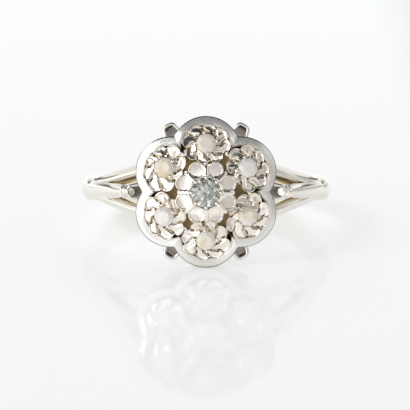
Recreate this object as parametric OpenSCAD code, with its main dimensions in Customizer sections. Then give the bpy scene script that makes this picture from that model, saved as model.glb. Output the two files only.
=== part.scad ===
// Flower cluster ring, in millimetres. The ring lies on its side on a flat surface:
// the lowest lobe of the flower and the back of the hoop touch the surface, and the head looks up a little.
// The finger's direction is almost upright, the head faces -Y.

/* [Finger hole and hoop] */
// Diameter of the finger hole
hole_d = 17.2; // [16:0.1:19]
// Thickness of the hoop at the middle of its width
hoop_t = 1.5; // [1.2:0.05:2]
// Width of the hoop along the finger
hoop_w = 2; // [1.8:0.05:2.6]

/* [Shoulders] */
// Angle from the head's axis to where the hoop splits into arms
split_a = 61; // [58:1:66]
// Width of each of the four arms along the finger
arm_w = 0.8; // [0.6:0.05:1]
// Depth of each arm away from the finger
arm_t = 1.4; // [1.2:0.05:1.6]
// Angle round the base ring from the middle line to each arm's foot
arm_foot_a = 29; // [24:1:34]
// Width of the two raised bars between the arms
bar_w = 1.15; // [0.9:0.05:1.3]
// Thickness of the raised bars
bar_t = 0.85; // [0.6:0.05:1]
// Angle from the head's axis to where a raised bar leaves the hoop
bar_start_a = 77; // [74:1:82]
// Bending radius of the raised bars
bar_bend_r = 35; // [25:1:60]
// Diameter of the small collar at the end of each raised bar
collar_d = 1.1; // [0.9:0.05:1.3]

/* [Gallery] */
// Diameter of the wire of the base ring
base_wire_d = 0.8; // [0.7:0.05:1]
// Radius of the base ring, to the middle of its wire
base_ring_r = 4.2; // [3.9:0.1:4.5]
// Height from the base ring's wire to the tray's underside
gallery_h = 2.25; // [1.8:0.05:3]
// Diameter of the wire of the six loops
loop_wire_d = 0.36; // [0.32:0.02:0.4]
// Inner radius of each loop's bend
loop_in_r = 0.34; // [0.3:0.02:0.38]
// Reach of the loops from the head's axis
loop_reach = 6.2; // [6:0.05:6.5]
// Thickness of the broad stay behind each loop
stay_t = 0.36; // [0.3:0.02:0.42]

/* [Flower tray] */
// Distance from the head's axis to the middle of each lobe
lobe_pitch = 3.17; // [3:0.01:3.4]
// Radius of each lobe at the rim
lobe_r = 2.7; // [2.6:0.02:2.9]
// Width of the rim at the tip of a lobe
rim_w = 0.72; // [0.6:0.02:0.9]
// Radius of the dome that the rim is part of
dome_r = 20; // [18:1:24]
// Height of that dome's top above the tray's underside
dome_h = 1.6; // [1.55:0.01:1.65]
// Thickness of the tray's floor
floor_t = 0.35; // [0.3:0.05:0.5]

/* [Small collets] */
// Distance from the head's axis to the middle of each collet, at the tray's floor
collet_pitch = 3.36; // [3.34:0.01:3.38]
// Radius of each collet across its scalloped crown
collet_r = 1.62; // [1.56:0.01:1.64]
// Height of each collet above the tray's floor
collet_h = 1.55; // [1.5:0.01:1.6]
// Outward lean of each collet
collet_lean = 15; // [12:1:16]
// Thickness of the scalloped crown
collet_crown_t = 0.4; // [0.34:0.02:0.42]

/* [Centre head] */
// Radius of the centre head across its petals
head_r = 2.5; // [2.4:0.02:2.6]
// Height of the centre head above the tray's floor
head_h = 2.5; // [2.3:0.05:2.8]
// Thickness of the petal crown
head_crown_t = 0.5; // [0.4:0.05:0.6]
// Depth of the spoon cut into each petal
spoon_depth = 0.2; // [0.1:0.02:0.25]
// Diameter of the bead at the end of each claw
bead_d = 0.3; // [0.24:0.02:0.36]

/* [Stones] */
// Diameter of the centre stone
centre_stone_d = 2.4; // [2.2:0.05:2.6]
// Diameter of each of the six small stones
petal_stone_d = 1.7; // [1.5:0.05:1.8]
// Space left between a stone and the metal
stone_gap = 0.03; // [0.02:0.01:0.06]
// Overlap of the metal on the edge of a stone
lip = 0.08; // [0.05:0.01:0.1]

/* [Hidden] */
$fn = 64;

metal_colour = "#d8d4c8";
clear_colour = "#dfe6ea";
cream_colour = "#efe6cf";

// How far a piece runs into the one that it is soldered to, and how far a cut runs past a face
bite = 0.15;
past = 1;

// Numbers of lobes round the flower, and of petals round each collet and round the centre head
lobes = 6;
petals = 8;
lobe_step = 360 / lobes;
petal_step = 360 / petals;

// Hoop: its outer face is domed, so its edges are thinner than its middle
edge_share = 0.62;
hole_r = hole_d / 2;
hoop_r = hole_r + hoop_t;
hoop_edge_t = hoop_t * edge_share;
finger_cut_h = 4 * hoop_r;
hoop_dome_r = (pow(hoop_w / 2, 2) + pow(hoop_t - hoop_edge_t, 2)) / (2 * (hoop_t - hoop_edge_t));

// Arms: each is an arc in a plane that leans away from the middle, drawn in that plane as x and s,
// where s runs from the split towards the head
arm_back_a = 3;
arm_past_a = 2;
arm_inset = 0.02;
arm_trim_share = 0.3;
arm_line_r = hole_r + arm_t / 2 - bite;
arm_start_x = arm_line_r * sin(split_a + arm_back_a);
arm_start_n = arm_line_r * cos(split_a + arm_back_a);
arm_start_z = (hoop_w - arm_w) / 2 - arm_inset;
arm_foot_x = base_ring_r * cos(arm_foot_a);
arm_foot_z = base_ring_r * sin(arm_foot_a);
arm_foot_n = sqrt(pow(arm_line_r, 2) - pow(arm_foot_x, 2));
arm_rise = arm_foot_n - arm_start_n;
arm_run = norm([arm_rise, arm_foot_z - arm_start_z]);
arm_lean = atan2(arm_foot_z - arm_start_z, arm_rise);
arm_centre_s = (pow(arm_foot_x, 2) + pow(arm_run, 2) - pow(arm_start_x, 2)) / (2 * arm_run);

// Heights of the head's parts above the middle of the finger hole
base_clear = 0.08;
loop_sink = 0.05;
base_n = hole_r + base_wire_d / 2 + base_clear;
tray_n = base_n + gallery_h;
floor_n = tray_n + floor_t;
dome_n = tray_n + dome_h;
loop_n = tray_n + loop_wire_d / 2 - loop_sink;

// Flower tray: its wall steps out above a lower foot
foot_step = 0.15;
foot_h = 0.5;
lobe_in_r = lobe_r - rim_w;
lobe_foot_r = lobe_r - foot_step;
notch_r = lobe_pitch * cos(lobe_step / 2) + sqrt(pow(lobe_r, 2) - pow(lobe_pitch * sin(lobe_step / 2), 2));
gap_hole_r = 0.5;

// Loops: the bend's middle, and how far its legs run into the tray
leg_in = 0.5;
loop_mid_r = loop_in_r + loop_wire_d / 2;
loop_at = loop_reach - loop_mid_r - loop_wire_d / 2;

// Stays: each leans out from the base ring's wire to the far end of a bend's wire
stay_run = [loop_at + loop_mid_r - base_ring_r, loop_n - base_n];
stay_a = atan2(stay_run.x, stay_run.y);

// Sleeve of solder over the end of each bend
solder_share = 1.14;
solder_l = 0.12;
solder_d = loop_wire_d * solder_share;

// Stones: facets round the table, shares of the girdle's radius, also for the light hole below, and angles
// of an ordinary round cut
facets = 8;
table_share = 0.56;
star_share = 0.79;
main_share = 0.34;
light_share = 0.55;
mouth_share = 0.35;
crown_a = 34;
pavilion_a = 41;
girdle_h = 0.05;
centre_stone_r = centre_stone_d / 2;
petal_stone_r = petal_stone_d / 2;

function touching_r(r) = r * sin(petal_step / 2) / (1 + sin(petal_step / 2));
function crown_h(r) = r * (1 - table_share) * tan(crown_a);
function pavilion_h(r) = r * tan(pavilion_a);

// Girdle heights: the petals' crowns stand about level with the girdles
petal_girdle_drop = 0.12;
centre_girdle_drop = 0.02;
petal_girdle_h = collet_h - petal_girdle_drop;
centre_girdle_h = head_h - centre_girdle_drop;

// Collets and centre head: each petal is larger than the one that would just touch its neighbours
collet_petal_share = 1.06;
collet_neck_share = 0.55;
collet_foot_r = 1.12;
collet_petal_r = touching_r(collet_r) * collet_petal_share;
collet_neck_r = collet_r - collet_petal_r * collet_neck_share;
head_petal_share = 1.18;
head_petal_reach = 0.75;
head_foot_r = 1.25;
head_petal_r = touching_r(head_r) * head_petal_share;
head_neck_r = head_r - head_petal_reach;
spoon_r = 1.1;
spoon_inset = 0.62;
spoon_at = head_r - spoon_inset;

// Claws: the bead rests on the stone's edge with the stone's gap between them
claw_share = 0.85;
bead_inset = 0.06;
bead_r = bead_d / 2;
bead_at = centre_stone_r - bead_inset;
bead_h = centre_girdle_h + girdle_h
    + (bead_r + stone_gap + (centre_stone_r - bead_at) * sin(crown_a)) / cos(crown_a);
claw_foot_at = head_r - head_petal_reach;

// Raised bars: from inside the hoop to the collar, which stands just outside a loop
bar_sink = 0.1;
bar_stand_off = 0.14;
bar_drop = 0.75;
dome_share = 0.92;
bar_line_r = hoop_r - bar_t / 2 - bar_sink;
bar_p0 = [bar_line_r * sin(bar_start_a), bar_line_r * cos(bar_start_a)];
bar_p1 = [loop_reach + bar_stand_off, loop_n - bar_drop];

// Collar: a neck with a broad ring and a smaller one
neck_share = 0.62;
small_ring_share = 0.86;
neck_l = 1.15;
ring_at = 0.1;
ring_l = 0.22;
small_ring_at = 0.5;
small_ring_l = 0.2;
neck_d = collar_d * neck_share;

// Resting place: the lowest lobe's rim and the hoop's back edge lie on the surface
rest_n = tray_n + foot_h;
rest_z = lobe_pitch + lobe_r;
back_r = hole_r + hoop_edge_t;
back_z = hoop_w / 2;
tilt = atan2(rest_z - back_z, rest_n + back_r);
centre_height = back_r * sin(tilt) + back_z * cos(tilt);
table_n = floor_n + centre_girdle_h + girdle_h + crown_h(centre_stone_r);
table_y = table_n * cos(tilt) + centre_stone_r * table_share * sin(tilt);
bead_y = (floor_n + bead_h) * cos(tilt) + bead_at * sin(tilt) + bead_r;
front_y = max(table_y, bead_y);
back_y = hoop_r * cos(tilt) + hoop_w / 4 * sin(tilt);
centre_y = (front_y - back_y) / 2;

// From the ring's own frame, with the finger along Z, to the way it lies
module lie_down() translate([0, centre_y, centre_height]) rotate([-tilt, 0, 0]) children();

// From the head's frame, with the head's axis along Z, to the ring's own frame
module on_head() rotate([90, 0, 0]) children();

module each_side() {
    children();
    mirror([1, 0, 0]) children();
}

module above_and_below() {
    children();
    mirror([0, 0, 1]) children();
}

// A round rod between two points
module rod(from, to, d) {
    way = to - from;
    translate(from) rotate([0, acos(way.z / norm(way)), atan2(way.y, way.x)]) cylinder(h = norm(way), d = d);
}

// Sweeps a flat profile along the arc about a centre, from one angle to another
module arc_sweep(centre, radius, from_a, to_a)
    translate([centre.x, centre.y, 0]) rotate([0, 0, from_a]) rotate_extrude(angle = to_a - from_a)
        translate([radius, 0]) children();

// A bar's cross-section, with its two broad faces domed
module domed_profile(t, w) intersection() {
    circle(d = norm([t, w]) * dome_share);
    square([t, w], center = true);
}

module hoop() rotate([0, 0, split_a - 90]) rotate_extrude(angle = 360 - 2 * split_a) intersection() {
    translate([hole_r - bite, -hoop_w / 2]) square([hoop_t + bite, hoop_w]);
    translate([hoop_r - hoop_dome_r, 0]) circle(r = hoop_dome_r, $fn = 96);
}

module arm() {
    centre = [0, -arm_centre_s];
    radius = norm([arm_start_x, arm_centre_s]);
    foot_a = atan2(arm_centre_s - arm_run, arm_foot_x);
    translate([0, -arm_start_n, arm_start_z]) rotate([-arm_lean, 0, 0])
        arc_sweep(centre, radius, foot_a - arm_past_a, atan2(arm_centre_s, arm_start_x)) intersection() {
            circle(d = arm_t);
            square([arm_t, arm_w], center = true);
        }
}

module raised_bar() {
    p0 = [bar_p0.x, -bar_p0.y];
    p1 = [bar_p1.x, -bar_p1.y];
    half = (p1 - p0) / 2;
    side = [half.y, -half.x] / norm(half);
    centre = p0 + half + side * sqrt(pow(bar_bend_r, 2) - pow(norm(half), 2));
    from_a = atan2(p1.y - centre.y, p1.x - centre.x);
    to_a = atan2(p0.y - centre.y, p0.x - centre.x);
    arc_sweep(centre, bar_bend_r, from_a, to_a) domed_profile(bar_t, bar_w);
    translate([p1.x, p1.y, 0]) rotate([0, 0, from_a]) rotate([90, 0, 0]) bar_collar();
}

// Two rings on a neck, on the end of a raised bar
module bar_collar() {
    translate([0, 0, -bite]) cylinder(d = neck_d, h = bite + neck_l);
    translate([0, 0, ring_at]) cylinder(d = collar_d, h = ring_l);
    translate([0, 0, small_ring_at]) cylinder(d = collar_d * small_ring_share, h = small_ring_l);
}

module base_ring() translate([0, 0, base_n]) rotate_extrude()
    translate([base_ring_r, 0]) circle(d = base_wire_d);

// A loop: a bend of wire, its two short legs into the tray and its broad stay down to the base ring
module gallery_loop() {
    translate([loop_at, 0, loop_n]) rotate([0, 0, -90]) rotate_extrude(angle = 180)
        translate([loop_mid_r, 0]) circle(d = loop_wire_d);
    for (side = [-1, 1]) {
        corner = [loop_at, side * loop_mid_r, loop_n];
        inside = [notch_r - leg_in, side * loop_mid_r, loop_n];
        rod(inside, corner, loop_wire_d);
        translate(corner) rotate([0, 90, 0]) cylinder(d = solder_d, h = solder_l, center = true);
    }
    translate([base_ring_r, -loop_mid_r, base_n]) rotate([0, stay_a, 0])
        translate([-stay_t / 2, 0, 0]) cube([stay_t, 2 * loop_mid_r, norm(stay_run)]);
}

// The flower's outline, with lobes of a given radius
module outline(r) {
    for (i = [0:lobes - 1]) rotate((i + 0.5) * lobe_step) translate([lobe_pitch, 0]) circle(r = r, $fn = 96);
    circle(r = lobe_pitch);
}

// A slab with the flower's outline
module slab(r, from_n, to_n) translate([0, 0, from_n]) linear_extrude(to_n - from_n) outline(r);

// The flower-shaped tray: a wall on a narrower foot, a broad rim that falls away outwards as part of a dome,
// a well round the collets, and a floor that is open between them
module tray() difference() {
    union() {
        intersection() {
            slab(lobe_r, tray_n + foot_h, dome_n);
            translate([0, 0, dome_n - dome_r]) sphere(r = dome_r);
        }
        slab(lobe_foot_r, tray_n, tray_n + foot_h + bite);
    }
    slab(lobe_in_r, floor_n, dome_n + past);
    for (i = [0:lobes - 1]) rotate([0, 0, i * lobe_step]) translate([collet_pitch, 0, tray_n - past])
        cylinder(r = gap_hole_r, h = floor_t + 2 * past);
}

module scalloped(r, petal_r) {
    for (i = [0:petals - 1]) rotate((i + 0.5) * petal_step) translate([r - petal_r, 0]) circle(r = petal_r);
    circle(r = r - petal_r);
}

// Room for a stone: its own outline with the gap all round, the lip over its edge and a light hole below
module stone_room(r, up, down) {
    line_r = r + stone_gap;
    lip_r = r - lip;
    lip_h = girdle_h + stone_gap + lip * tan(crown_a);
    light_r = r * light_share;
    rotate_extrude() polygon([
        [0, -down],
        [light_r, -down],
        [light_r, -girdle_h - (line_r - light_r) * tan(pavilion_a) - stone_gap],
        [line_r, -girdle_h - stone_gap],
        [line_r, girdle_h + stone_gap],
        [lip_r, lip_h + stone_gap],
        [lip_r + up * mouth_share, lip_h + up],
        [0, lip_h + up]
    ]);
}

// A small collet in its own frame, which starts on the tray's floor
module collet() {
    translate([0, 0, -bite]) cylinder(r1 = collet_foot_r, r2 = collet_neck_r,
        h = collet_h - collet_crown_t + 2 * bite);
    translate([0, 0, collet_h - collet_crown_t]) linear_extrude(collet_crown_t)
        scalloped(collet_r, collet_petal_r);
}

module at_collet() translate([collet_pitch, 0, floor_n]) rotate([0, collet_lean, 0]) children();

module centre_head() translate([0, 0, floor_n]) {
    translate([0, 0, -bite]) cylinder(r1 = head_foot_r, r2 = head_neck_r, h = head_h - head_crown_t + 2 * bite);
    translate([0, 0, head_h - head_crown_t]) linear_extrude(head_crown_t) scalloped(head_r, head_petal_r);
}

// The hollows cut into the petals of the centre head
module spoons() for (i = [0:petals - 1]) rotate([0, 0, (i + 0.5) * petal_step])
    translate([spoon_at, 0, floor_n + head_h + spoon_r - spoon_depth]) sphere(r = spoon_r);

// The tray with the six collets and the centre head on it, opened for the stones
module flower() difference() {
    union() {
        tray();
        for (i = [0:lobes - 1]) rotate([0, 0, (i + 0.5) * lobe_step]) at_collet() collet();
        centre_head();
    }
    for (i = [0:lobes - 1]) rotate([0, 0, (i + 0.5) * lobe_step]) at_collet()
        translate([0, 0, petal_girdle_h]) stone_room(petal_stone_r, past, collet_h + past);
    translate([0, 0, floor_n + centre_girdle_h])
        stone_room(centre_stone_r, past, head_h + floor_t + past);
    spoons();
}

module claw() translate([0, 0, floor_n]) {
    tip = [bead_at, 0, bead_h];
    rod([claw_foot_at, 0, head_h - bead_r], tip, bead_d * claw_share);
    translate(tip) sphere(d = bead_d);
}

module clawed_flower() {
    flower();
    for (i = [0:petals - 1]) rotate([0, 0, i * petal_step]) claw();
}

// All the soldered metal, which is one solid
module ring_setting() color(metal_colour) lie_down() difference() {
    union() {
        hoop();
        difference() {
            each_side() above_and_below() arm();
            on_head() cylinder(r = base_ring_r - base_wire_d * arm_trim_share, h = base_n + base_wire_d);
        }
        each_side() raised_bar();
        on_head() {
            base_ring();
            for (i = [0:lobes - 1]) rotate([0, 0, i * lobe_step]) gallery_loop();
            clawed_flower();
        }
    }
    cylinder(r = hole_r, h = finger_cut_h, center = true, $fn = 96);
}

function ring_points(n, r, h, turn = 0) =
    [for (i = [0:n - 1]) [r * cos(i * 360 / n + turn), r * sin(i * 360 / n + turn), h]];

// A round brilliant: table, 8 stars, 8 kites, 16 upper halves, girdle, 16 lower halves and 8 mains
module brilliant(r) {
    n = facets;
    mid_r = r * star_share;
    low_r = r * main_share;
    half_a = 180 / n;
    mid_h = girdle_h + crown_h(r) * (r - mid_r * cos(half_a)) / (r - r * table_share);
    low_h = -girdle_h - pavilion_h(r) * (r - low_r * cos(half_a)) / r;
    points = concat(
        ring_points(n, r * table_share, girdle_h + crown_h(r)),
        ring_points(n, mid_r, mid_h, half_a),
        ring_points(2 * n, r, girdle_h),
        ring_points(2 * n, r, -girdle_h),
        ring_points(n, low_r, low_h, half_a),
        [[0, 0, -girdle_h - pavilion_h(r)]]
    );
    mid = n;
    top = mid + n;
    base = top + 2 * n;
    low = base + 2 * n;
    culet = low + n;
    faces = concat(
        [[for (i = [n - 1:-1:0]) i]],
        [for (i = [0:n - 1]) [i, (i + 1) % n, mid + i]],
        [for (i = [0:n - 1]) [i, mid + i, top + 2 * i, mid + (i + n - 1) % n]],
        [for (i = [0:n - 1]) [mid + i, top + 2 * i + 1, top + 2 * i]],
        [for (i = [0:n - 1]) [mid + i, top + (2 * i + 2) % (2 * n), top + 2 * i + 1]],
        [for (i = [0:2 * n - 1]) [top + i, top + (i + 1) % (2 * n), base + (i + 1) % (2 * n), base + i]],
        [for (i = [0:n - 1]) [base + 2 * i, base + 2 * i + 1, low + i]],
        [for (i = [0:n - 1]) [base + 2 * i + 1, base + (2 * i + 2) % (2 * n), low + i]],
        [for (i = [0:n - 1]) [base + 2 * i, low + i, culet, low + (i + n - 1) % n]]
    );
    polyhedron(points, faces);
}

// An old single cut: table, 8 crown facets, girdle and 8 pavilion facets
module single_cut(r) {
    n = facets;
    points = concat(
        ring_points(n, r * table_share, girdle_h + crown_h(r)),
        ring_points(n, r, girdle_h),
        ring_points(n, r, -girdle_h),
        [[0, 0, -girdle_h - pavilion_h(r) * cos(180 / n)]]
    );
    faces = concat(
        [[for (i = [n - 1:-1:0]) i]],
        [for (row = [0:1], i = [0:n - 1])
            [row * n + i, row * n + (i + 1) % n, (row + 1) * n + (i + 1) % n, (row + 1) * n + i]],
        [for (i = [0:n - 1]) [2 * n + i, 2 * n + (i + 1) % n, 3 * n]]
    );
    polyhedron(points, faces);
}

module centre_stone() color(clear_colour) lie_down() on_head()
    translate([0, 0, floor_n + centre_girdle_h]) brilliant(centre_stone_r);

module petal_stone(i) color(cream_colour) lie_down() on_head() rotate([0, 0, (i + 0.5) * lobe_step])
    at_collet() translate([0, 0, petal_girdle_h]) single_cut(petal_stone_r);

ring_setting();
centre_stone();
petal_stone(0);  // petal_stone_1
petal_stone(1);  // petal_stone_2
petal_stone(2);  // petal_stone_3
petal_stone(3);  // petal_stone_4
petal_stone(4);  // petal_stone_5
petal_stone(5);  // petal_stone_6
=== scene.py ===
import math

import bmesh
import bpy
import numpy as np
from mathutils import Matrix, Vector


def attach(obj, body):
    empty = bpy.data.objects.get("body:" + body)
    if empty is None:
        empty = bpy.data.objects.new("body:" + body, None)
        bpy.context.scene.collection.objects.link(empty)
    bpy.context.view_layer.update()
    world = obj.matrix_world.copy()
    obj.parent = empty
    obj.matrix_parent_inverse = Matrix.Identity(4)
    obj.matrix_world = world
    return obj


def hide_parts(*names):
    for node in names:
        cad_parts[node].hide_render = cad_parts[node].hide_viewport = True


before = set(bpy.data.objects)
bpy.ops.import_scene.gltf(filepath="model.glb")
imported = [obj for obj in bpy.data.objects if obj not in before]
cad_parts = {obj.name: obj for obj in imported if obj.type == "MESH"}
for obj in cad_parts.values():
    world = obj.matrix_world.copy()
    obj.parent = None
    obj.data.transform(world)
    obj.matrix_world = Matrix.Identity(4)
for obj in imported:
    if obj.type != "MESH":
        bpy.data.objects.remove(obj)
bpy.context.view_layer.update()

# Sizes of the ring, in millimetres and degrees, as in the CAD source
HOLE_R, HOOP_T, HOOP_W, EDGE_SHARE = 8.6, 1.5, 2.0, 0.62
HOOP_R = HOLE_R + HOOP_T
SPLIT_A, ARM_W, ARM_T, ARM_FOOT_A = 61, 0.8, 1.4, 29
BAR_W, BAR_T, BAR_START_A, BAR_BEND_R, BAR_STAND_OFF, COLLAR_D = 1.15, 0.85, 77, 35, 0.14, 1.1
BASE_WIRE_D, BASE_RING_R, GALLERY_H = 0.8, 4.2, 2.25
LOOP_WIRE_D, LOOP_IN_R, LOOP_REACH, STAY_T = 0.36, 0.34, 6.2, 0.36
LOBES, LOBE_PITCH, LOBE_R, RIM_W, FLOOR_T = 6, 3.17, 2.7, 0.72, 0.35
DOME_R, DOME_H = 20, 1.6
FOOT_STEP, FOOT_H = 0.15, 0.5
PETALS = 8
COLLET_PITCH, COLLET_R, COLLET_H, COLLET_LEAN, COLLET_FOOT_R = 3.36, 1.62, 1.55, 15, 1.12
HEAD_R, HEAD_H, HEAD_FOOT_R = 2.5, 2.5, 1.25
CENTRE_STONE_R, PETAL_STONE_R, STONE_GAP, LIP = 1.2, 0.85, 0.03, 0.08
PAVILION = math.tan(math.radians(41))

# Distances from the finger hole's axis along the head's own axis
BASE_N = HOLE_R + BASE_WIRE_D / 2 + 0.08
TRAY_N = BASE_N + GALLERY_H
FLOOR_N = TRAY_N + FLOOR_T
DOME_N = TRAY_N + DOME_H
LOOP_N = TRAY_N + LOOP_WIRE_D / 2 - 0.05

FULL_TURN = 2 * math.pi
LOBE_STEP, PETAL_STEP = FULL_TURN / LOBES, FULL_TURN / PETALS

# How the ring lies: from the hoop's own frame, and from the head's, to the frame of the part
TILT, CENTRE_Y, CENTRE_Z = math.radians(12.843705), 2.27529, 3.09342
MM = 0.001
LIE = Matrix.Translation((0, CENTRE_Y, CENTRE_Z)) @ Matrix.Rotation(-TILT, 4, "X")
HEAD = LIE @ Matrix.Rotation(math.pi / 2, 4, "X")
AT_FLOOR = Matrix.Translation((0, 0, FLOOR_N))
SAME, MIRROR_X, MIRROR_Z = Matrix.Identity(4), Matrix.Diagonal((-1, 1, 1, 1)), Matrix.Diagonal((1, 1, -1, 1))


def turn(angle):
    return Matrix.Rotation(angle, 4, "Z")


# Mesh helpers: a part is its points and faces, and a row is a closed loop of points

def round_angles(count):
    return np.arange(count) * 2 * math.pi / count


CORNER_STEPS = 5


def rounded(corners):
    """An outline, whose corners (x, y, radius) are rounded."""
    out = []
    for i, (x, y, r) in enumerate(corners):
        p = np.array([x, y], float)
        if r <= 0:
            out.append(p)
            continue
        a = np.array(corners[i - 1][:2]) - p
        b = np.array(corners[(i + 1) % len(corners)][:2]) - p
        a, b = a / np.linalg.norm(a), b / np.linalg.norm(b)
        half = math.acos(float(np.clip(a @ b, -1, 1))) / 2
        mid = p + (a + b) / np.linalg.norm(a + b) * r / math.sin(half)
        start, end = p + a * r / math.tan(half) - mid, p + b * r / math.tan(half) - mid
        from_a = math.atan2(start[1], start[0])
        sweep = (math.atan2(end[1], end[0]) - from_a + math.pi) % (2 * math.pi) - math.pi
        for k in range(CORNER_STEPS + 1):
            t = from_a + sweep * k / CORNER_STEPS
            out.append(mid + r * np.array([math.cos(t), math.sin(t)]))
    return np.array(out)


def skin(rows, loop=False):
    """Joins rows with faces, and closes both ends, or joins the last row to the first."""
    rows = [np.asarray(r, float) for r in rows]
    m, k = len(rows), len(rows[0])
    faces = []
    for i in range(m if loop else m - 1):
        a, b = i * k, ((i + 1) % m) * k
        for j in range(k):
            n = (j + 1) % k
            faces.append((a + j, a + n, b + n, b + j))
    if not loop:
        faces.append(tuple(range(k - 1, -1, -1)))
        faces.append(tuple(range((m - 1) * k, m * k)))
    return np.concatenate(rows), faces


def join(parts):
    verts, faces, base = [], [], 0
    for v, f in parts:
        verts.append(np.asarray(v, float))
        faces += [tuple(i + base for i in face) for face in f]
        base += len(v)
    return np.concatenate(verts), faces


def moved(part, matrix):
    v, f = part
    m = np.array(matrix)
    return np.asarray(v) @ m[:3, :3].T + m[:3, 3], f


def tube(points, radii, sides):
    """A round bar along a line of points, with a radius at each."""
    pts = np.asarray(points, float)
    radii = np.broadcast_to(radii, len(pts))
    way = np.gradient(pts, axis=0)
    way /= np.linalg.norm(way, axis=1)[:, None]
    side = np.cross(way[0], [0.31, 0.17, 0.93])
    angles = round_angles(sides)
    rows = []
    for p, w, r in zip(pts, way, radii):
        side = side - w * (side @ w)
        side /= np.linalg.norm(side)
        up = np.cross(w, side)
        rows.append(p + r * (np.cos(angles)[:, None] * side + np.sin(angles)[:, None] * up))
    return skin(rows)


def polar_row(r, z, angles):
    """A row round the z axis, from one radius and height or from one of each at every angle."""
    r = np.broadcast_to(r, len(angles))
    z = np.broadcast_to(z, len(angles))
    return np.stack([r * np.cos(angles), r * np.sin(angles), z], 1)


def lathe(profile, count):
    return [polar_row(r, z, round_angles(count)) for r, z in profile]


def smooth_line(points, per):
    """A smooth curve through the points, with a number of steps between each two."""
    pts = [np.asarray(p, float) for p in points]
    out = []
    for i in range(len(pts) - 1):
        p0, p1, p2, p3 = pts[max(i - 1, 0)], pts[i], pts[i + 1], pts[min(i + 2, len(pts) - 1)]
        for t in np.arange(per) / per:
            out.append(0.5 * (2 * p1 + (p2 - p0) * t + (2 * p0 - 5 * p1 + 4 * p2 - p3) * t * t
                              + (3 * p1 - p0 - 3 * p2 + p3) * t ** 3))
    return np.array(out + [pts[-1]])


def piece(name, part, matrix, material, sharp=35, inset=None):
    """Makes a part a piece of the ring's metal, with an optional number at each point for its material."""
    v, faces = moved(part, matrix)
    mesh = bpy.data.meshes.new(name)
    mesh.from_pydata([tuple(p) for p in v * MM], [], faces)
    if inset is not None:
        mesh.attributes.new("inset", "FLOAT", "POINT").data.foreach_set("value", inset)
    bm = bmesh.new()
    bm.from_mesh(mesh)
    bmesh.ops.recalc_face_normals(bm, faces=bm.faces)
    bm.to_mesh(mesh)
    bm.free()
    mesh.shade_smooth()
    mesh.set_sharp_from_angle(angle=math.radians(sharp))
    mesh.materials.append(material)
    obj = bpy.data.objects.new(name, mesh)
    bpy.context.scene.collection.objects.link(obj)
    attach(obj, "root")
    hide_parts("ring_setting")


# Materials

def new_material(name):
    mat = bpy.data.materials.new(name)
    mat.use_nodes = True
    return mat, mat.node_tree.nodes, mat.node_tree.links, mat.node_tree.nodes["Principled BSDF"]


def add_node(nodes, kind, **values):
    """Adds a node, with values for its sockets or, where no socket has the name, for its own settings."""
    node = nodes.new(kind)
    for key, value in values.items():
        if key in node.inputs:
            node.inputs[key].default_value = value
        else:
            setattr(node, key, value)
    return node


def ramp_node(nodes, stops):
    node = nodes.new("ShaderNodeValToRGB")
    while len(node.color_ramp.elements) < len(stops):
        node.color_ramp.elements.new(0.5)
    for element, (at, colour) in zip(node.color_ramp.elements, stops):
        element.position = at
        element.color = (*colour, 1)
    return node


def noise_node(nodes, links, place, scale, detail):
    node = add_node(nodes, "ShaderNodeTexNoise", Scale=scale, Detail=detail)
    links.new(place.outputs["Object"], node.inputs["Vector"])
    return node


# Grain of the metal: noise sizes per metre, the roughness's spread, and depths in metres
CLOUD_SCALE, SCRATCH_SCALE = 900.0, 2600.0
ROUGH_FROM, ROUGH_TO = 0.7, 1.5
SCRATCH_DEPTH, LINE_DEPTH = 0.00003, 0.00002
# Step of the turned lines, in millimetres of the inset
LINE_STEP = 0.085


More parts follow.
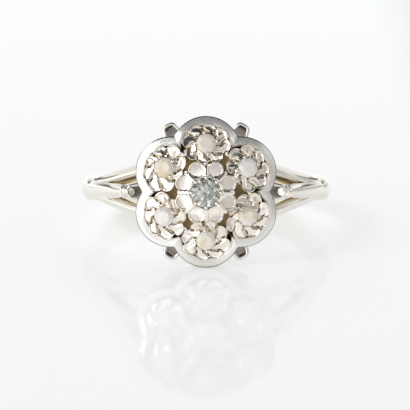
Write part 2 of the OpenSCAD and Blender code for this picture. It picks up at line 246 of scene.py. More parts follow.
def gold(name, pale, deep, rough=0.12, scratch=0.02, reach=0.0012, near=0.12, far=0.62,
         shade_tones=None, lines=0.0):
    """Polished white gold with fine handling marks, and painted shade: warmer and darker in its crevices, which
    ambient occlusion finds, towards the colour deep.

    reach, near and far set how deep a crevice is, and tones, which are painted shade too, with or without
    lines, follow the mesh's inset."""
    mat, nodes, links, shader = new_material(name)
    shader.inputs["Metallic"].default_value = 1
    place = add_node(nodes, "ShaderNodeTexCoord")
    # Painted shade: where ambient occlusion finds a crevice, the colour goes from pale towards deep
    shade = add_node(nodes, "ShaderNodeAmbientOcclusion", Distance=reach, samples=8)
    tint = ramp_node(nodes, [(near, deep), (far, pale)])
    links.new(shade.outputs["AO"], tint.inputs["Fac"])
    links.new(tint.outputs["Color"], shader.inputs["Base Color"])
    cloud = noise_node(nodes, links, place, CLOUD_SCALE, 3.0)
    span = add_node(nodes, "ShaderNodeMapRange")
    span.inputs["To Min"].default_value = rough * ROUGH_FROM
    span.inputs["To Max"].default_value = rough * ROUGH_TO
    links.new(cloud.outputs["Fac"], span.inputs["Value"])
    links.new(span.outputs["Result"], shader.inputs["Roughness"])
    fine = noise_node(nodes, links, place, SCRATCH_SCALE, 4.0)
    bump = add_node(nodes, "ShaderNodeBump", Strength=scratch, Distance=SCRATCH_DEPTH)
    links.new(fine.outputs["Fac"], bump.inputs["Height"])
    # Painted shade along the inset: the tray's dark edge line, the arms' tan slopes and the hoop's tan inner
    # wall
    if shade_tones:
        inset = add_node(nodes, "ShaderNodeAttribute", attribute_name="inset")
        shade_tone = ramp_node(nodes, shade_tones)
        links.new(inset.outputs["Fac"], shade_tone.inputs["Fac"])
        both = add_node(nodes, "ShaderNodeMix", data_type="RGBA", blend_type="MULTIPLY")
        both.inputs["Factor"].default_value = 1
        links.new(tint.outputs["Color"], both.inputs["A"])
        links.new(shade_tone.outputs["Color"], both.inputs["B"])
        links.new(both.outputs["Result"], shader.inputs["Base Color"])
    if lines:
        wave = add_node(nodes, "ShaderNodeMath", operation="MULTIPLY")
        wave.inputs[1].default_value = FULL_TURN / LINE_STEP
        links.new(inset.outputs["Fac"], wave.inputs[0])
        sine = add_node(nodes, "ShaderNodeMath", operation="SINE")
        links.new(wave.outputs[0], sine.inputs[0])
        turned = add_node(nodes, "ShaderNodeBump", Strength=lines, Distance=LINE_DEPTH)
        links.new(sine.outputs[0], turned.inputs["Height"])
        links.new(turned.outputs["Normal"], bump.inputs["Normal"])
    links.new(bump.outputs["Normal"], shader.inputs["Normal"])
    return mat


# Painted shade colours: a grey for the tray's edge line, a tan for the hoop's inner wall and one for the arms'
# sloping inner sides; white leaves a colour as it is
WHITE, EDGE_SHADE_GREY, INNER_SHADE_TAN, SLOPE_SHADE_TAN = (1, 1, 1), (0.4, 0.4, 0.42), (0.80, 0.72, 0.58), (0.90, 0.80, 0.62)
# Painted shade: a thin dark line along the tray's outer edge, by the inset in millimetres
EDGE_SHADE_TONES = [(0.0, EDGE_SHADE_GREY), (0.045, EDGE_SHADE_GREY), (0.085, WHITE)]
# Each gold below darkens in its crevices towards its second colour, painted shade; the first colour here is
# that warm brown for the polished and turned gold, the second the shank's and arms' own pale gold
CREVICE_SHADE, WARM = (0.40, 0.29, 0.14), (0.90, 0.87, 0.80)
polished = gold("polished_gold", (0.88, 0.86, 0.82), CREVICE_SHADE, far=0.5)
tray_gold = gold("turned_gold", (0.92, 0.91, 0.88), CREVICE_SHADE, rough=0.16, shade_tones=EDGE_SHADE_TONES, lines=0.3)
crown_gold = gold("cut_gold", (0.98, 0.93, 0.855), (0.36, 0.25, 0.12), rough=0.17, scratch=0.5,
                  reach=0.0008, near=0.2, far=0.75)
shank_gold = gold("warm_gold", WARM, (0.86, 0.81, 0.70), rough=0.14)
arm_gold = gold("arm_gold", WARM, (0.90, 0.84, 0.72), rough=0.14, shade_tones=[(0, WHITE), (1, SLOPE_SHADE_TAN)])
hoop_gold = gold("hoop_gold", WARM, (0.66, 0.55, 0.38), rough=0.14, shade_tones=[(0, WHITE), (1, INNER_SHADE_TAN)])
# Painted shade: the tray's floor is a dark brown gold all over, for the shade and warm reflections in the
# recess under the collets
shaded_floor_gold = gold("painted_shade_floor_gold", (0.50, 0.39, 0.23), (0.22, 0.15, 0.06), rough=0.25,
                  reach=0.002, near=0.1, far=0.8)
# Painted shade: the gallery stays are a dark grey gold, for the grey shade seen between the loop wires
shadowed = gold("painted_shade_grey_gold", (0.46, 0.44, 0.41), (0.12, 0.10, 0.08), rough=0.15, near=0.2, far=0.9)


def stone(name, stops, rough, clear, ior):
    """Cut stone, mottled by noise in the colours of the stops, and more or less clear."""
    mat, nodes, links, shader = new_material(name)
    shader.inputs["Roughness"].default_value = rough
    shader.inputs["IOR"].default_value = ior
    shader.inputs["Transmission Weight"].default_value = clear
    cloud = noise_node(nodes, links, add_node(nodes, "ShaderNodeTexCoord"), 1400.0, 4.0)
    tint = ramp_node(nodes, stops)
    links.new(cloud.outputs["Fac"], tint.inputs["Fac"])
    links.new(tint.outputs["Color"], shader.inputs["Base Color"])
    return mat


MILKY_STOPS = [(0.36, (0.90, 0.76, 0.52)), (0.47, (1.0, 0.92, 0.78)), (0.6, (1.0, 0.97, 0.90))]
milky = stone("milky_stone", MILKY_STOPS, 0.03, 0.05, 1.8)
# A paler copy of the milky stone, a painted highlight for two stones that catch a glint
pale = stone("glint_lit_stone", [(0.4, (1.0, 0.95, 0.86)), (0.6, (1.0, 1.0, 0.97))], 0.03, 0.05, 2.0)
# The centre stone's mottle of dark grey-green and pale is painted reflection, for the dark and bright facets of
# a brilliant
clear = stone("clear_stone", [(0.42, (0.42, 0.46, 0.40)), (0.56, (0.88, 0.91, 0.87))], 0.0, 1.0, 2.4)


# Hoop: the width of its ends as a share of the rest's, the degrees over which it narrows, and its edges' radii
END_W, END_SPAN = 0.86, 30
HOOP_INNER_EDGE, HOOP_OUTER_EDGE = 0.16, 0.22


def hoop_profile():
    edge_t = HOOP_T * EDGE_SHARE
    dome_r = ((HOOP_W / 2) ** 2 + (HOOP_T - edge_t) ** 2) / (2 * (HOOP_T - edge_t))
    mid = HOOP_R - dome_r
    reach = math.asin(HOOP_W / 2 / dome_r)
    dome_angles = np.linspace(-reach, reach, 17)[1:-1]
    dome = [(mid + dome_r * math.cos(a), dome_r * math.sin(a), 0) for a in dome_angles]
    corners = [(HOLE_R, -HOOP_W / 2, HOOP_INNER_EDGE), (HOLE_R + edge_t, -HOOP_W / 2, HOOP_OUTER_EDGE)] + dome
    corners += [(HOLE_R + edge_t, HOOP_W / 2, HOOP_OUTER_EDGE), (HOLE_R, HOOP_W / 2, HOOP_INNER_EDGE)]
    return rounded(corners)


def hoop():
    """The hoop, and for each point 1 on the inner wall, which takes painted shade, and 0 elsewhere."""
    profile = hoop_profile()
    split = math.radians(SPLIT_A)
    angles = np.linspace(split - math.pi / 2, 1.5 * math.pi - split, 161)
    rows = []
    for a in angles:
        to_end = min(a - angles[0], angles[-1] - a) / math.radians(END_SPAN)
        wide = END_W + (1 - END_W) * math.sin(min(1, to_end) * math.pi / 2)
        x, y = profile[:, 0] * math.cos(a), profile[:, 0] * math.sin(a)
        rows.append(np.stack([x, y, profile[:, 1] * wide], 1))
    return skin(rows), np.tile(np.where(profile[:, 0] < HOLE_R + 0.02, 1.0, 0.0), len(rows))


hoop_part, hoop_inner_shade = hoop()
# Painted shade: the hoop's inner wall is tinted tan
piece("hoop", hoop_part, LIE, hoop_gold, inset=hoop_inner_shade)


# Arms of the split shoulders: how far each is sunk in towards the finger, how many degrees it overlaps the
# hoop's end, how far it stands inside the hoop's side, what its inner half has more, and its edges' radius
ARM_SINK, ARM_OVERLAP, ARM_INSIDE, ARM_INNER_MORE, ARM_EDGE = 0.15, 3, 0.02, 0.02, 0.12
# How far the upper and lower arms' inner sides slope in towards the split, and how deep a slope runs for that
UPPER_SLOPE, LOWER_SLOPE, SLOPE_RUN = 0.27, 0.05, 0.75 / 0.35
# Share of the way by which an arm's rows move to a straight line
STRAIGHTENED = 0.8
# Share of the slope's painted shade, a tan colour, at its outer edge, and the way over which the rest comes in
SLOPE_SHADE_START, SLOPE_SHADE_DEPTH = 0.2, 0.3

arm_line_r = HOLE_R + ARM_T / 2 - ARM_SINK
start_x = arm_line_r * math.sin(math.radians(SPLIT_A + ARM_OVERLAP))
start_n = arm_line_r * math.cos(math.radians(SPLIT_A + ARM_OVERLAP))
start_z = (HOOP_W * END_W - ARM_W) / 2 - ARM_INSIDE
foot_x = BASE_RING_R * math.cos(math.radians(ARM_FOOT_A))
foot_z = BASE_RING_R * math.sin(math.radians(ARM_FOOT_A))
foot_n = math.sqrt(arm_line_r ** 2 - foot_x ** 2)
arm_run = math.hypot(foot_n - start_n, foot_z - start_z)
arm_lean = math.atan2(foot_z - start_z, foot_n - start_n)
arm_mid_s = (foot_x ** 2 + arm_run ** 2 - start_x ** 2) / (2 * arm_run)
arm_r = math.hypot(start_x, arm_mid_s)
AT_ARM = Matrix.Translation((0, -start_n, start_z)) @ Matrix.Rotation(-arm_lean, 4, "X")


def arm_profile(slope):
    round_r = ARM_T / 2
    reach = math.asin(ARM_W / 2 / round_r)
    outer_angles = np.linspace(-reach, reach, 11)[1:-1]
    outer = [(round_r * math.cos(a), round_r * math.sin(a), 0) for a in outer_angles]
    face = math.cos(reach) * round_r
    inner = -face - ARM_INNER_MORE
    corners = [(inner, -ARM_W / 2 - slope, 0.1), (face - SLOPE_RUN * slope, -ARM_W / 2 - slope, 0)]
    corners += [(face, -ARM_W / 2, ARM_EDGE)] + outer
    corners += [(face, ARM_W / 2, ARM_EDGE), (inner, ARM_W / 2, ARM_EDGE)]
    return rounded(corners)


def arm(slope):
    """An arm, whose inner side slopes in, and how far each point is down that slope, which sets the slope's
    painted shade.
    """
    profile = arm_profile(slope)
    from_a = math.atan2(arm_mid_s - arm_run, foot_x)
    to_a = math.atan2(arm_mid_s, start_x) + 0.03
    rows = []
    for t in np.linspace(0, 1, 49):
        a = from_a + (to_a - from_a) * t
        r = arm_r + profile[:, 0]
        rows.append(np.stack([r * math.cos(a), -arm_mid_s + r * math.sin(a), profile[:, 1]], 1))
    v, f = moved(skin(rows), AT_ARM)
    # Seen from the front the arm is straight, so each row moves towards the line between its ends
    mid = v.reshape(len(rows), -1, 3).mean(axis=1)
    share = np.clip((start_x - mid[:, 0]) / (start_x - foot_x), 0, 1)
    v[:, 2] += np.repeat(STRAIGHTENED * (start_z + (foot_z - start_z) * share - mid[:, 2]), len(profile))
    # The finger hole's wall cuts the inner face
    r = np.hypot(v[:, 0], v[:, 1])
    v[:, :2] *= (np.maximum(r, HOLE_R) / r)[:, None]
    # Painted shade: the further down the inner slope, the more tan
    down = np.clip((-ARM_W / 2 - profile[:, 1]) / SLOPE_SHADE_DEPTH + SLOPE_SHADE_START, 0, 1)
    return (v, f), np.tile(down, len(rows))


upper_arm, lower_arm = arm(UPPER_SLOPE), arm(LOWER_SLOPE)
for name, flip, made in (("arm_upper_right", SAME, upper_arm), ("arm_upper_left", MIRROR_X, upper_arm),
                         ("arm_lower_right", MIRROR_Z, lower_arm),
                         ("arm_lower_left", MIRROR_X @ MIRROR_Z, lower_arm)):
    piece(name, moved(made[0], flip), LIE, arm_gold, inset=made[1])


# Raised bars with their collars: how deep a bar is sunk in, and how far below the loops it ends
BAR_SINK, BAR_BELOW = 0.1, 0.75
# A bar's end by the collar is narrower and thinner, by shares, over a share of its length
BAR_END_W, BAR_END_T, BAR_END_SPAN = 0.62, 0.8, 0.24

bar_line_r = HOOP_R - BAR_T / 2 - BAR_SINK
bar_start_a = math.radians(BAR_START_A)
bar_p0 = np.array([bar_line_r * math.sin(bar_start_a), -bar_line_r * math.cos(bar_start_a)])
bar_p1 = np.array([LOOP_REACH + BAR_STAND_OFF, -(LOOP_N - BAR_BELOW)])
bar_half = (bar_p1 - bar_p0) / 2
bar_side = np.array([bar_half[1], -bar_half[0]]) / np.linalg.norm(bar_half)
bar_mid = bar_p0 + bar_half + bar_side * math.sqrt(BAR_BEND_R ** 2 - bar_half @ bar_half)
bar_a1 = math.atan2(*(bar_p1 - bar_mid)[::-1])
bar_a0 = math.atan2(*(bar_p0 - bar_mid)[::-1])


def raised_bar():
    half_w, shoulder, drop, edge = BAR_W / 2 - 0.04, BAR_T / 2 - 0.24, 0.2, 0.1
    dome = [(BAR_T / 2 - drop * abs(y / half_w) ** 2.4, y, 0) for y in np.linspace(-half_w, half_w, 17)]
    corners = [(-BAR_T / 2, -BAR_W / 2, edge), (shoulder, -BAR_W / 2, 0)] + dome
    corners += [(shoulder, BAR_W / 2, 0), (-BAR_T / 2, BAR_W / 2, edge)]
    profile = rounded(corners)
    rows = []
    for t in np.linspace(0, 1, 61):
        a = bar_a1 + (bar_a0 - bar_a1) * t
        k = min(1.0, t / BAR_END_SPAN)
        k = k * k * (3 - 2 * k)
        wide, thick = BAR_END_W + (1 - BAR_END_W) * k, BAR_END_T + (1 - BAR_END_T) * k
        r = BAR_BEND_R + profile[:, 0] * thick
        x, y = bar_mid[0] + r * math.cos(a), bar_mid[1] + r * math.sin(a)
        rows.append(np.stack([x, y, profile[:, 1] * wide], 1))
    return skin(rows)


def collar():
    """Two rings on a neck, which narrows towards its hidden ends."""
    neck, big, small = COLLAR_D * 0.31, COLLAR_D / 2, COLLAR_D * 0.43
    end = neck * 0.6
    profile = [(end, -0.15), (neck, -0.15), (neck, 0.06)]
    profile += [(big - 0.07, 0.1), (big, 0.16), (big, 0.26), (big - 0.07, 0.32), (neck, 0.36), (neck, 0.46)]
    profile += [(small - 0.06, 0.5), (small, 0.56), (small, 0.64), (small - 0.06, 0.7), (neck, 0.74)]
    profile += [(neck, 1.12), (end, 1.15)]
    return skin(lathe(smooth_line(profile, 3), 32))


AT_COLLAR = Matrix.Translation((bar_p1[0], bar_p1[1], 0)) @ turn(bar_a1)
AT_COLLAR = AT_COLLAR @ Matrix.Rotation(math.pi / 2, 4, "X")
for name, flip in (("right", SAME), ("left", MIRROR_X)):
    piece("raised_bar_" + name, moved(raised_bar(), flip), LIE, shank_gold)
    piece("bar_collar_" + name, moved(collar(), flip @ AT_COLLAR), LIE, crown_gold)


# Gallery: base ring, loops and stays
LOOP_R, STAY_EDGE = 0.15, 0.08
# How much shorter each loop is than the reach
LOOP_SHORTER = (0, 0.12, 0.12, 0, 0.2, 0.2)
# Distance from the head's axis to the notches between the lobes
NOTCH_R = LOBE_PITCH * math.cos(LOBE_STEP / 2)
NOTCH_R += math.sqrt(LOBE_R ** 2 - (LOBE_PITCH * math.sin(LOBE_STEP / 2)) ** 2)


def base_ring():
    wire_r = BASE_WIRE_D / 2
    profile = [(BASE_RING_R + wire_r * math.cos(t), BASE_N + wire_r * math.sin(t)) for t in round_angles(24)]
    return skin(lathe(profile, 128), loop=True)


def loop(reach):
    """A bar bent to a blunt point, from under the tray out to the reach and back."""
    half = [(NOTCH_R - 0.4, 0.66), (NOTCH_R, 0.62)]
    half += [(reach - 0.42, 0.46), (reach - 0.22, 0.32), (reach - 0.17, 0.15)]
    path = [(x, -y, LOOP_N) for x, y in half] + [(x, y, LOOP_N) for x, y in reversed(half)]
    return tube(smooth_line(path, 5), LOOP_R, 12)


def stay(reach):
    """A broad flat bar from the base ring to the loop."""
    foot, top = np.array([BASE_RING_R, BASE_N]), np.array([reach - 0.36, LOOP_N - 0.05])
    way = (top - foot) / np.linalg.norm(top - foot)
    side = np.array([way[1], -way[0]])
    half_w, half_t = LOOP_IN_R + LOOP_WIRE_D / 2 - STAY_EDGE, STAY_T / 2
    profile = rounded([(x, y, STAY_EDGE) for x, y in ((-half_t, -half_w), (half_t, -half_w),
                                                      (half_t, half_w), (-half_t, half_w))])
    rows = []
    for t in np.linspace(0, 1, 9):
        middle = foot + (top - foot) * t
        x = middle[0] + profile[:, 0] * side[0]
        n = middle[1] + profile[:, 0] * side[1]
        rows.append(np.stack([x, profile[:, 1], n], 1))
    return skin(rows)


piece("base_ring", base_ring(), HEAD, polished)
for i, shorter in enumerate(LOOP_SHORTER):
    piece(f"gallery_loop_{i + 1}", loop(LOOP_REACH - shorter), HEAD @ turn(i * LOBE_STEP), polished)
    piece(f"gallery_stay_{i + 1}", stay(LOOP_REACH - shorter), HEAD @ turn(i * LOBE_STEP), shadowed)


# Flower tray

def soft_max(a, b, soft):
    return (a + b + np.sqrt((a - b) ** 2 + soft ** 2)) / 2


def petalled(angles, count, pitch, r, soft):
    """Radius of a rosette's outline: circles of radius r, whose middles stand at pitch, with soft notches."""
    half_step = math.pi / count
    phi = (angles % (2 * half_step)) - half_step

    def one(offset):
        across = pitch * np.sin(phi + offset)
        return pitch * np.cos(phi + offset) + np.sqrt(np.maximum(r * r - across * across, 1e-6))
    side = np.where(phi > 0, -2 * half_step, 2 * half_step)
    return soft_max(one(0), np.where(np.abs(pitch * np.sin(phi + side)) < r, one(side), 0), soft)


def flower_loop(inset, n, angles, on_dome=False):
    """The flower's outline, drawn in by an inset, at a height of its own or above the rim's dome."""
    r = petalled(angles, LOBES, LOBE_PITCH, LOBE_R - inset, 0.1)
    if on_dome:
        n = n + DOME_N - DOME_R + np.sqrt(DOME_R ** 2 - r ** 2)
    return polar_row(r, n, angles)


def tray():
    """The tray without its floor, and each point's inset."""
    angles = round_angles(288)
    foot_top, edge = TRAY_N + FOOT_H, 0.1
    wall = [(0.30, TRAY_N), (FOOT_STEP + 0.05, TRAY_N), (FOOT_STEP, TRAY_N + 0.05)]
    wall += [(FOOT_STEP, foot_top - 0.06), (FOOT_STEP - 0.03, foot_top - 0.01)]
    wall += [(0.03, foot_top + 0.01), (0, foot_top + 0.04)]
    rim = [(0, -0.12)]
    rim += [(edge - edge * math.cos(a), -edge + edge * math.sin(a)) for a in np.linspace(0, 1.35, 6)]
    rim += [(edge + 0.56 * t, 0.03 * math.sin(math.pi * t) - 0.002) for t in np.linspace(0.04, 1, 12)]
    rim += [(0.70, -0.02), (0.75, -0.06), (0.82, -0.15), (0.90, -0.3), (0.97, -0.5)]
    well = [(1.0, FLOOR_N + 0.15), (1.02, FLOOR_N + 0.05), (1.04, FLOOR_N), (1.04, FLOOR_N - 0.1)]
    well += [(1.04, TRAY_N)]
    rows = [(d, n, on_dome) for line, on_dome in ((wall, False), (rim, True), (well, False)) for d, n in line]
    part = skin([flower_loop(d, n, angles, on_dome) for d, n, on_dome in rows], loop=True)
    return part, np.repeat([d for d, n, on_dome in rows], len(angles))


tray_part, tray_insets = tray()
piece("flower_tray", tray_part, HEAD, tray_gold, sharp=50, inset=tray_insets)


def plate(outline, holes, low, high):
    """A flat plate with holes."""
    mesh = bmesh.new()
    loops = [outline] + holes
    made = []
    for n in (low, high):
        edges, rings = [], []
        for points in loops:
            ring = [mesh.verts.new((x, y, n)) for x, y in points]
            edges += [mesh.edges.new((ring[i], ring[(i + 1) % len(ring)])) for i in range(len(ring))]
            rings.append(ring)
        bmesh.ops.triangle_fill(mesh, use_beauty=True, use_dissolve=False, edges=edges)
        made.append(rings)
    for bottom, top in zip(*made):
        for i in range(len(bottom)):
            j = (i + 1) % len(bottom)
            mesh.faces.new((bottom[i], bottom[j], top[j], top[i]))
    mesh.verts.index_update()
    part = (np.array([v.co for v in mesh.verts]), [tuple(v.index for v in f.verts) for f in mesh.faces])
    mesh.free()
    return part


# Openings of the tray's floor: one between each two collets, one below each collet, and one in the middle
GAP_HOLE_R, GAP_HOLE_PITCH = 0.25, COLLET_PITCH + 0.1
COLLET_HOLE_R, COLLET_HOLE_PITCH = 0.5, 3.39
MIDDLE_HOLE_R = 0.68


def hole(pitch, angle, r):
    x, y = pitch * math.cos(angle), pitch * math.sin(angle)
    return [(x + r * math.cos(a), y + r * math.sin(a)) for a in round_angles(32)]


floor_outline = [tuple(p[:2]) for p in flower_loop(RIM_W + 0.1, 0, round_angles(144))]
floor_holes = [hole(GAP_HOLE_PITCH, i * LOBE_STEP, GAP_HOLE_R) for i in range(LOBES)]
floor_holes += [hole(COLLET_HOLE_PITCH, (i + 0.5) * LOBE_STEP, COLLET_HOLE_R) for i in range(LOBES)]
floor_holes.append(hole(0, 0, MIDDLE_HOLE_R))
# The tray's floor takes painted shade, a dark brown gold all over
piece("tray_floor", plate(floor_outline, floor_holes, TRAY_N + 0.01, FLOOR_N - 0.01), HEAD, shaded_floor_gold)


# Crowns of petals and the rooms of the stones

CROWN_SHARES = (0.0, 0.02, 0.04, 0.06, 0.09, 0.12, 0.16, 0.2, 0.25, 0.31,
                0.38, 0.45, 0.52, 0.59, 0.66, 0.73, 0.8, 0.86, 0.91, 0.96)
# A petal's rim: its middle and its inner edge, its width and its height, as shares
PETAL_RIM, PETAL_DISH, PETAL_RIM_W, PETAL_RIM_H = 0.95, 0.9, 0.05, 0.3
# A stone's room: above and below its girdle, its light hole as a share, and its depth below the foot
GIRDLE_ROOM, LIGHT_SHARE, FOOT_SINK = 0.08, 0.55, 0.1


def crown(angles, phase, edge, pitch, petal_r, lip_r, top, fall, depth, bowl, notch, swirl=0, twist=0):
    """Rows across a crown of petals, from the outer edge to the lip over the stone.

    Each petal is a shallow dish with a thin raised rim, a narrow groove parts it from the next, and with a
    swirl one side of it stands over its neighbour."""
    half_step = PETAL_STEP / 2
    rows = []
    for k in CROWN_SHARES:
        phi = ((angles + phase + twist * k * k) % PETAL_STEP) - half_step
        groove = np.exp(-((half_step - np.abs(phi)) / (0.05 + 0.12 * twist * k)) ** 2)
        r = (edge - 0.01) * (1 - k) + (lip_r + 0.04) * k
        away = np.hypot(r * np.cos(phi) - pitch, r * np.sin(phi)) / petal_r
        dish = np.clip((PETAL_DISH - away) / 0.1, 0, 1)
        hollow = np.clip(1 - away ** 2, 0, 1)
        rim = np.exp(-((away - PETAL_RIM) / PETAL_RIM_W) ** 2) * PETAL_RIM_H
        z = top - fall * (1 - k) ** 1.5 + (depth * (rim - dish) - bowl * hollow) * min(1, k * 12)
        z = z + swirl * (phi / half_step - 0.5) * math.sin(math.pi * min(1, 0.3 + k))
        rows.append(polar_row(r, z - notch * groove * min(1, k * 6, (1 - k) * 6), angles))
    rows.append(polar_row(lip_r + 0.015, top + 0.01, angles))
    rows.append(polar_row(lip_r, top - 0.01, angles))
    return rows


def well(angles, stone_r, girdle, foot_r):
    """Rows of the room below a stone, from its girdle down through the light hole to the foot."""
    wall_r, light_r, low = stone_r + STONE_GAP, stone_r * LIGHT_SHARE, girdle - GIRDLE_ROOM
    return [polar_row(wall_r, girdle + GIRDLE_ROOM, angles), polar_row(wall_r, low, angles),
            polar_row(light_r, low - (wall_r - light_r) * PAVILION, angles),
            polar_row(light_r, -FOOT_SINK, angles), polar_row(foot_r, -FOOT_SINK, angles)]


# Collets: fluted cups, each crown twisted by the same angle and turned by one of its own, in degrees
TWIST = 0.45
CROWN_TURNS = (8, -14, 20, 3, -9, 15)
# How much broader a crown is sideways, as a share, the radius from which that comes in, and over what span
BROADER, BROAD_FROM, BROAD_SPAN = 0.19, 0.9, 0.4
# A grain's radius, half its height, its distance from the collet's axis, and the angle left flat at its tips
GRAIN_R, GRAIN_H, GRAIN_PITCH, GRAIN_TIP = 0.13, 0.11, 0.84, 0.12


def grains(phase):
    """Small grains over the stone's edge, one on the inner end of every other petal."""
    rings = [polar_row(GRAIN_R * math.sin(t), GRAIN_H * math.cos(t), round_angles(14))
             for t in np.linspace(GRAIN_TIP, math.pi - GRAIN_TIP, 10)]
    made = []
    for i in range(0, PETALS, 2):
        a = (i + 0.5) * PETAL_STEP - phase - TWIST
        at = (GRAIN_PITCH * math.cos(a), GRAIN_PITCH * math.sin(a), COLLET_H + 0.02)
        made.append(moved(skin(rings), Matrix.Translation(at)))
    return join(made)


def collet(phase):
    """A small cup, whose crown is broader sideways and a little uneven."""
    angles = round_angles(192)
    petal_r = COLLET_R * 0.33
    pitch = COLLET_R - petal_r
    broad = 1 + BROADER * np.sin(angles) ** 2
    uneven = 1 + 0.025 * np.sin(3 * angles + 5 * phase) + 0.015 * np.sin(5 * angles - 9 * phase)
    edge = petalled(angles + phase, PETALS, pitch, petal_r, 0.04) * uneven
    rows = []
    for t in np.linspace(0, 1, 13):
        plain = COLLET_FOOT_R + (COLLET_R - 0.06 - COLLET_FOOT_R) * t ** 1.2
        fluted = plain + (edge - COLLET_R) * (0.3 + 0.7 * t)
        rows.append(polar_row(fluted * (1 + (broad - 1) * t), (COLLET_H - 0.22) * t, angles))
    rows.append(polar_row(edge * broad, COLLET_H - 0.18, angles))
    phi = ((angles + phase + TWIST) % PETAL_STEP) - PETAL_STEP / 2
    lip_r = PETAL_STONE_R - LIP + 0.16 * np.abs(phi / (PETAL_STEP / 2)) ** 3
    for row in crown(angles, phase, edge, pitch, petal_r, lip_r, top=COLLET_H, fall=0.12, depth=0.06,
                     bowl=0.16, notch=0.2, swirl=0.07, twist=TWIST):
        r = np.hypot(row[:, 0], row[:, 1])
        share = np.clip((r - BROAD_FROM) / BROAD_SPAN, 0, 1)
        row[:, :2] *= (1 + (broad - 1) * share)[:, None]
        rows.append(row)
    cup = skin(rows + well(angles, PETAL_STONE_R, COLLET_H - 0.12, COLLET_FOOT_R), loop=True)
    return join([cup, grains(phase)])


AT_COLLET = Matrix.Translation((COLLET_PITCH, 0, FLOOR_N))
AT_COLLET = AT_COLLET @ Matrix.Rotation(math.radians(COLLET_LEAN), 4, "Y")
for i, turned_by in enumerate(CROWN_TURNS):
    at = HEAD @ turn((i + 0.5) * LOBE_STEP) @ AT_COLLET
    piece(f"collet_{i + 1}", collet(math.radians(turned_by)), at, crown_gold)


# Centre head: eight dished petals on a fluted cone, each pair with a claw between that ends in a bead
CONE_R = 1.9
BEAD_R, BEAD_AT, BEAD_H = 0.15, CENTRE_STONE_R - 0.06, 2.78759
CLAW_FOOT_R, CLAW_END_R = 0.23, 0.17


def centre_head():
    angles = round_angles(320)
    petal_r = HEAD_R * 0.26
    pitch = HEAD_R - petal_r
    edge = petalled(angles, PETALS, pitch, petal_r, 0.05)
    rows = []
    for t in np.linspace(0, 1, 15):
        plain = HEAD_FOOT_R + (CONE_R - HEAD_FOOT_R) * t ** 1.3
        rows.append(polar_row(plain + (edge - CONE_R - 0.05) * t ** 2.2, (HEAD_H - 0.3) * t, angles))
    rows.append(polar_row(edge, HEAD_H - 0.2, angles))
    rows += crown(angles, 0, edge, pitch, petal_r, CENTRE_STONE_R - LIP, top=HEAD_H + 0.03, fall=0.13,
                  depth=0.07, bowl=0.05, notch=0.24)
    return skin(rows + well(angles, CENTRE_STONE_R, HEAD_H - 0.02, HEAD_FOOT_R), loop=True)


def claw():
    foot = [(2.06, 0, HEAD_H - 0.42), (2.0, 0, HEAD_H - 0.2), (1.8, 0, HEAD_H - 0.04)]
    foot += [(1.5, 0, HEAD_H + 0.08), (BEAD_AT + 0.12, 0, BEAD_H - 0.09)]
    path = smooth_line(foot, 5)
    radii = np.linspace(CLAW_FOOT_R, CLAW_END_R, len(path))
    tip, end = np.array([BEAD_AT, 0, BEAD_H]), path[-1]
    way = (tip - end) / np.linalg.norm(tip - end)
    bead_angles = np.linspace(0.75 * math.pi, 0.02, 12)
    bead = [tip + way * BEAD_R * math.cos(a) for a in bead_angles]
    sizes = [BEAD_R * math.sin(a) for a in bead_angles]
    return tube(np.concatenate([path, bead]), np.concatenate([radii, sizes]), 14)


piece("centre_head", centre_head(), HEAD @ AT_FLOOR, crown_gold)
for i in range(PETALS):
    piece(f"claw_{i + 1}", claw(), HEAD @ AT_FLOOR @ turn(i * PETAL_STEP), crown_gold)


# Stones: the CAD's own solids, two of the small ones paler than the rest, a painted highlight for the glints on
# them

GLINT_LIT_STONES = ("petal_stone_1", "petal_stone_4")
for name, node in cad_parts.items():
    if name == "centre_stone" or name.startswith("petal_stone"):
        node.data.materials.clear()
        node.data.materials.append(clear if name == "centre_stone" else pale if name in GLINT_LIT_STONES else milky)


# Floor: sizes in metres, and its colours from left to right as shares of the way across, with a painted pool of
# light to the left and painted shade far to the right
FLOOR_SIZE, ACROSS = 2.4, 0.12
PLAIN, LEFT_PAINTED_LIGHT, FAR_RIGHT_PAINTED_SHADE = (0.504, 0.51, 0.512), (0.76, 0.75, 0.70), (0.26, 0.25, 0.24)
FLOOR_STOPS = [(0.3, LEFT_PAINTED_LIGHT), (0.41, PLAIN), (0.575, PLAIN), (0.66, FAR_RIGHT_PAINTED_SHADE)]


def floor_material():
    """A pale, slightly glossy sheet that glows in its own colours, brighter to the left of the ring, painted
    light, and greyer far to its right, painted shade.
    """
    mat, nodes, links, shader = new_material("floor_with_painted_light")
    shader.inputs["Roughness"].default_value = 0.07
    shader.inputs["IOR"].default_value = 1.15
    shader.inputs["Emission Strength"].default_value = 1.04
    place = add_node(nodes, "ShaderNodeTexCoord")
    axes = add_node(nodes, "ShaderNodeSeparateXYZ")
    links.new(place.outputs["Object"], axes.inputs[0])
    span = add_node(nodes, "ShaderNodeMapRange")
    span.inputs["From Min"].default_value, span.inputs["From Max"].default_value = -ACROSS, ACROSS
    links.new(axes.outputs["X"], span.inputs["Value"])
    tint = ramp_node(nodes, FLOOR_STOPS)
    links.new(span.outputs["Result"], tint.inputs["Fac"])
    links.new(tint.outputs["Color"], shader.inputs["Base Color"])
    links.new(tint.outputs["Color"], shader.inputs["Emission Color"])
    return mat


bpy.ops.mesh.primitive_plane_add(size=FLOOR_SIZE, location=(0, 0, 0))
ground = bpy.context.active_object
ground.name = "ground"
ground.data.materials.append(floor_material())


# Sky: a pale ground colour, with soft round patches laid over it one after the other

world = bpy.data.worlds.new("studio")
bpy.context.scene.world = world
world.use_nodes = True
w_nodes, w_links = world.node_tree.nodes, world.node_tree.links
direction = w_nodes.new("ShaderNodeTexCoord")


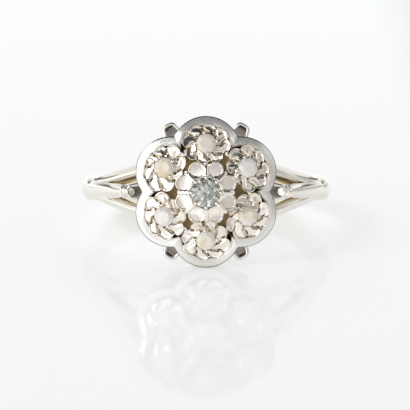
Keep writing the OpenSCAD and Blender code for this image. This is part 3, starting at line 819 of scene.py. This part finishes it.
def soft_step(value, start, end):
    span = add_node(w_nodes, "ShaderNodeMapRange", interpolation_type="SMOOTHSTEP")
    span.inputs["From Min"].default_value, span.inputs["From Max"].default_value = start, end
    w_links.new(value, span.inputs["Value"])
    return span.outputs["Result"]


def mixed(share, under, over):
    """Lays a colour over another, which is a colour or a node's output, by a share."""
    mix = add_node(w_nodes, "ShaderNodeMix", data_type="RGBA")
    w_links.new(share, mix.inputs["Factor"])
    if isinstance(under, tuple):
        mix.inputs["A"].default_value = (*under, 1)
    else:
        w_links.new(under, mix.inputs["A"])
    mix.inputs["B"].default_value = (*over, 1)
    return mix.outputs["Result"]


def patch(under, towards, inner, outer, colour):
    """A soft round patch in one direction, full up to the inner angle and gone at the outer, in degrees."""
    dot = add_node(w_nodes, "ShaderNodeVectorMath", operation="DOT_PRODUCT")
    dot.inputs[1].default_value = Vector(towards).normalized()
    w_links.new(direction.outputs["Generated"], dot.inputs[0])
    share = soft_step(dot.outputs["Value"], math.cos(math.radians(outer)), math.cos(math.radians(inner)))
    return mixed(share, under, colour)


def times(a, b):
    node = add_node(w_nodes, "ShaderNodeMath", operation="MULTIPLY")
    w_links.new(a, node.inputs[0])
    w_links.new(b, node.inputs[1])
    return node.outputs[0]


def side_band(under, colour):
    """A band low down behind the ring, to each side."""
    axes = w_nodes.new("ShaderNodeSeparateXYZ")
    w_links.new(direction.outputs["Generated"], axes.inputs[0])
    across = add_node(w_nodes, "ShaderNodeMath", operation="ABSOLUTE")
    w_links.new(axes.outputs["X"], across.inputs[0])
    share = times(soft_step(axes.outputs["Z"], 0.03, 0.05), soft_step(axes.outputs["Z"], 0.16, 0.13))
    share = times(share, soft_step(axes.outputs["Y"], 0.05, 0.2))
    share = times(share, soft_step(across.outputs[0], 0.3, 0.5))
    return mixed(share, under, colour)


SKY, DARK_BAND = (0.85, 0.85, 0.84), (0.08, 0.08, 0.085)
PATCHES = (
    ((0.72, -0.68, -0.05), 18, 50, (0.44, 0.42, 0.41)),
    ((0, 1, 0.2), 40, 80, (0.97, 0.98, 0.985)),
    ((-0.5, -0.78, 0.36), 18, 42, (1.55, 1.55, 1.56)),
    ((0, -0.97, 0.24), 8, 18, (0.55, 0.53, 0.53)),
    ((0, -0.225, 0.974), 33, 50, (0.05, 0.05, 0.053)),
)
sky = SKY
for towards, inner, outer, colour in PATCHES:
    sky = patch(sky, towards, inner, outer, colour)
sky = side_band(sky, DARK_BAND)
w_links.new(sky, w_nodes["Background"].inputs["Color"])
w_nodes["Background"].inputs["Strength"].default_value = 1.0


# Lamp: one soft light at the front left, above the ring and turned to it, in metres and watts
LAMP_AT, LAMP_SIZE, LAMP_POWER = (-0.35, -0.25, 0.35), 0.12, 0.5
light = bpy.data.lights.new("key_left", "AREA")
light.size, light.energy = LAMP_SIZE, LAMP_POWER
lamp = bpy.data.objects.new("key_left", light)
lamp.location = LAMP_AT
lamp.rotation_mode = "QUATERNION"
lamp.rotation_quaternion = (-Vector(LAMP_AT)).to_track_quat("-Z", "Y")
bpy.context.scene.collection.objects.link(lamp)


# Camera: the middle of the flower's face stands at a place of its own in the picture, counted in pixels
PICTURE, FACE_X, FACE_Y = 410, 206, 192
PX_PER_MM = 12.95
ELEVATION = math.radians(14.7)
LENS, SENSOR = 287, 36
face = HEAD @ Vector((0, 0, FLOOR_N + 0.75))
back = Vector((0, -math.cos(ELEVATION), math.sin(ELEVATION)))
up = Vector((0, math.sin(ELEVATION), math.cos(ELEVATION)))
distance = LENS / SENSOR * PICTURE / PX_PER_MM
aim = face + up * (FACE_Y - PICTURE / 2) / PX_PER_MM + Vector((1, 0, 0)) * (PICTURE / 2 - FACE_X) / PX_PER_MM
camera_data = bpy.data.cameras.new("camera")
camera_data.lens = LENS
camera_data.sensor_width = SENSOR
camera_data.clip_start, camera_data.clip_end = 0.01, 10
camera = bpy.data.objects.new("camera", camera_data)
camera.location = (aim + back * distance) * MM
camera.rotation_mode = "QUATERNION"
camera.rotation_quaternion = (-back).to_track_quat("-Z", "Y")
bpy.context.scene.collection.objects.link(camera)
bpy.context.scene.camera = camera
bpy.context.scene.view_settings.view_transform = "Standard"
